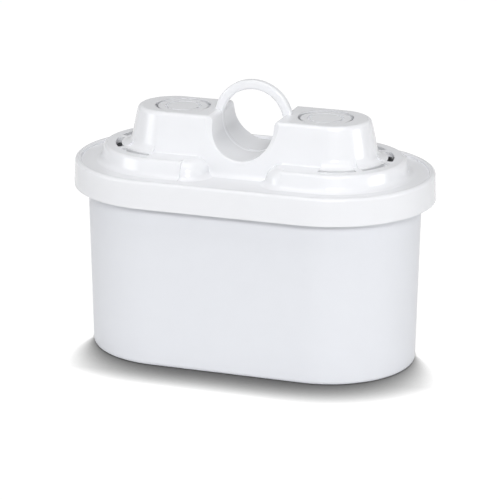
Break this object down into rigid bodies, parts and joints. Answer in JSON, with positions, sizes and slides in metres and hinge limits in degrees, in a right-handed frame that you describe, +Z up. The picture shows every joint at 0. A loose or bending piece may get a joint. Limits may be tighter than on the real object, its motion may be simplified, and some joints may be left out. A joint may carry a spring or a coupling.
{
  "type": "water pitcher filter cartridge",
  "caption": "Oval drop-in filter cartridge for a water pitcher, with a tapered container, an overhanging skirt, hollow inlet towers and a pull ring in a finger trough.",
  "frame": {"origin": "middle of the base, on the plane that the container stands on", "axes": "+X along the length of the oval, from one tower to the other; +Y across, from front to back, through the finger hole of the ring; +Z up"},
  "size_m": [0.1078, 0.0614, 0.0815],
  "materials": {
    "container_plastic": "semi-gloss white polypropylene",
    "lid_plastic": "semi-gloss white polypropylene",
    "screen_mesh": "fine woven polyester mesh",
    "granules": "loose dry granules"
  },
  "bodies": {
    "root": {"container": "container_plastic", "lid": "lid_plastic", "inlet_screen": "screen_mesh", "outlet_screen": "screen_mesh", "media": "granules"}
  },
  "joints": []
}
